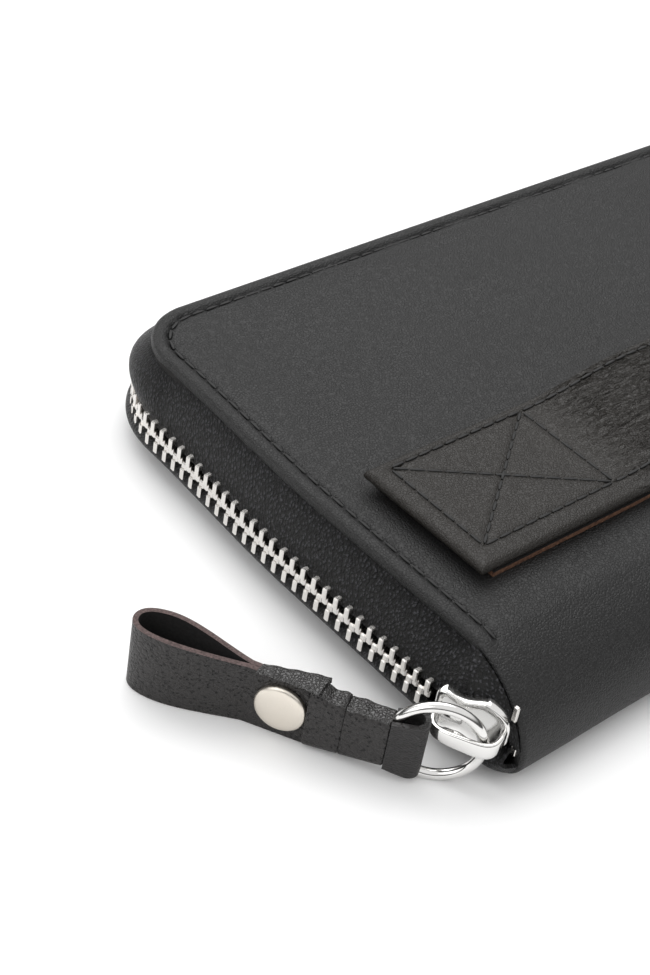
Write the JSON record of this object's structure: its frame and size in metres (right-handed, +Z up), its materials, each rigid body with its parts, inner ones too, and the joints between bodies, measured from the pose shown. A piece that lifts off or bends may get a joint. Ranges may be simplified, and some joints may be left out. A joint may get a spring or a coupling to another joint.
{
  "type": "long wallet",
  "caption": "Long zip-around wallet: leather covers on a soft spine, accordion inside with card slots and a zipped coin pocket, metal zip with leather pull tab, hand strap.",
  "frame": {"origin": "on the resting face of the back cover, midway along the wallet, in line with the middle between spine and long zip side", "axes": "+X along the spine, away from the parked zip slider; +Y from the spine towards the long zip side; +Z up through the front cover"},
  "size_m": [0.232, 0.1084, 0.0248],
  "materials": {
    "cover_leather": "soft black leather with a fine grain and a low sheen",
    "inner_leather": "thin black leather",
    "lining": "black woven lining",
    "board": "grey stiffening board",
    "zip_tape": "black woven polyester tape",
    "zip_metal": "bright nickel-plated teeth",
    "hardware": "polished nickel plating",
    "tab_leather": "black pebbled leather with raw brown edges",
    "rivet": "satin nickel",
    "strap_leather": "black leather with creases",
    "strap_raw_leather": "raw tan edge under black leather",
    "thread": "black waxed thread"
  },
  "bodies": {
    "back": {"back_cover": "cover_leather", "spine_back": "cover_leather", "back_board": "board", "back_lining": "lining", "back_card_slot_1": "inner_leather", "back_card_slot_2": "inner_leather", "back_card_slot_3": "inner_leather", "back_card_slot_4": "inner_leather", "zip_tape_back": "zip_tape", "zip_tape_back_run": "zip_tape", "zip_teeth_back": "zip_metal", "zip_teeth_back_run": "zip_metal", "zip_stop_back": "zip_metal", "edge_stitching_back": "thread"},
    "divider": {"coin_panel_back": "inner_leather", "coin_panel_front": "inner_leather", "coin_tape_back": "zip_tape", "coin_tape_front": "zip_tape", "coin_teeth": "zip_metal", "gusset_back_left": "inner_leather", "gusset_back_right": "inner_leather", "gusset_front_left": "inner_leather", "gusset_front_right": "inner_leather"},
    "front": {"front_cover": "cover_leather", "spine_front": "cover_leather", "front_board": "board", "front_lining": "lining", "front_card_slot_1": "inner_leather", "front_card_slot_2": "inner_leather", "front_card_slot_3": "inner_leather", "front_card_slot_4": "inner_leather", "zip_tape_front": "zip_tape", "zip_tape_front_run": "zip_tape", "zip_teeth_front": "zip_metal", "zip_teeth_front_run": "zip_metal", "zip_stop_front": "zip_metal", "edge_stitching_front": "thread", "strap_top": "strap_leather", "strap_base": "strap_raw_leather", "strap_stitching": "thread"},
    "coin_slider": {"coin_slider": "hardware"},
    "coin_pull": {"coin_pull": "hardware"},
    "lock_pin": {"slider_lock_pin": "hardware"},
    "slider": {"slider_body": "hardware", "slider_bail": "hardware"},
    "ring": {"pull_ring": "hardware"},
    "tab": {"pull_tab_fold": "tab_leather", "pull_tab_neck": "tab_leather", "pull_tab_loop": "tab_leather", "rivet_cap": "rivet", "rivet_back": "rivet"}
  },
  "joints": [
    {"name": "divider_fold", "type": "hinge", "parent": "back", "child": "divider", "pos_m": [0, -0.054, 0.0048], "axis": [1, 0, 0], "range_deg": [0, 36], "deforming": ["gusset_back_left", "gusset_back_right"]},
    {"name": "cover_open", "type": "hinge", "parent": "divider", "child": "front", "pos_m": [0, -0.054, 0.0048], "axis": [1, 0, 0], "range_deg": [0, 36], "deforming": ["gusset_front_left", "gusset_front_right"]},
    {"name": "zip_travel", "type": "slide", "parent": "back", "child": "lock_pin", "axis": [-0.0488, 0.9988, 0], "range_m": [0, 0.045], "deforming": ["zip_tape_back_run", "zip_teeth_back_run", "zip_tape_front_run", "zip_teeth_front_run"]},
    {"name": "zip_swivel", "type": "hinge", "parent": "lock_pin", "child": "slider", "pos_m": [-0.0978, -0.04426, 0.0088], "axis": [0, 0, 1], "range_deg": [-26.5, 0]},
    {"name": "ring_swing", "type": "hinge", "parent": "slider", "child": "ring", "pos_m": [-0.10105, -0.04941, 0.00765], "axis": [0, 0, 1], "range_deg": [0, 60]},
    {"name": "tab_swing", "type": "hinge", "parent": "ring", "child": "tab", "pos_m": [-0.11026, -0.03953, 0.00765], "axis": [0, 0, 1], "range_deg": [0, 60], "deforming": ["pull_tab_fold"]},
    {"name": "coin_zip", "type": "slide", "parent": "divider", "child": "coin_slider", "axis": [1, 0, 0], "range_m": [0, 0.145], "deforming": ["coin_teeth"]},
    {"name": "coin_pull_swing", "type": "hinge", "parent": "coin_slider", "child": "coin_pull", "pos_m": [-0.0781, 0.0453, 0.00955], "axis": [0, 0, 1], "range_deg": [0, 15]}
  ],
  "couplings": [
    {"joint": "divider_fold", "follows": "cover_open", "ratio": 1},
    {"joint": "zip_swivel", "follows": "zip_travel", "rad_per_m": -10.08}
  ]
}
